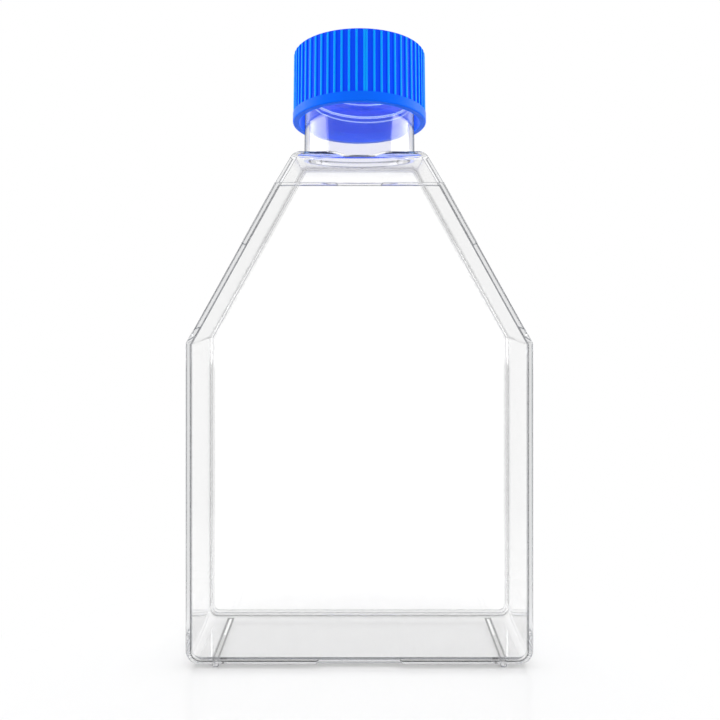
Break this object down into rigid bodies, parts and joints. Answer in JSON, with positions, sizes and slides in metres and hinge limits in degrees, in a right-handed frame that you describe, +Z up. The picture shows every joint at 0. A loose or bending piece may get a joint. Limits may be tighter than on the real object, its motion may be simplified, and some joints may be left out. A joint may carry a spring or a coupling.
{
  "type": "cell culture flask",
  "caption": "Clear cell culture flask that stands upright, with sloped shoulders, a tilted threaded neck and a ribbed, vented screw cap.",
  "frame": {"origin": "on the surface that the flask stands on, in the middle of its width and of its depth", "axes": "+Z up along the body towards the neck, +X to the right across the body, -Y towards the growth plate, so the neck leans to +Y"},
  "size_m": [0.084, 0.0394, 0.1563],
  "materials": {
    "clear_polystyrene": "clear polystyrene, polished",
    "cap_blue": "blue, satin moulded",
    "membrane_white": "white porous film"
  },
  "bodies": {
    "flask": {"flask_shell": "clear_polystyrene", "growth_plate": "clear_polystyrene"},
    "vent": {"vent_membrane": "membrane_white"},
    "cap": {"screw_cap": "cap_blue"}
  },
  "joints": [
    {"name": "cap_lift", "type": "slide", "parent": "flask", "child": "vent", "axis": [0, 0.1822, 0.9833], "range_m": [0, 0.01751]},
    {"name": "cap_turn", "type": "hinge", "parent": "vent", "child": "cap", "pos_m": [0, -0.00059, 0.1345], "axis": [0, 0.1822, 0.9833], "range_deg": [0, 1260]}
  ],
  "couplings": [
    {"joint": "cap_lift", "follows": "cap_turn", "m_per_rad": 0.00079577}
  ]
}
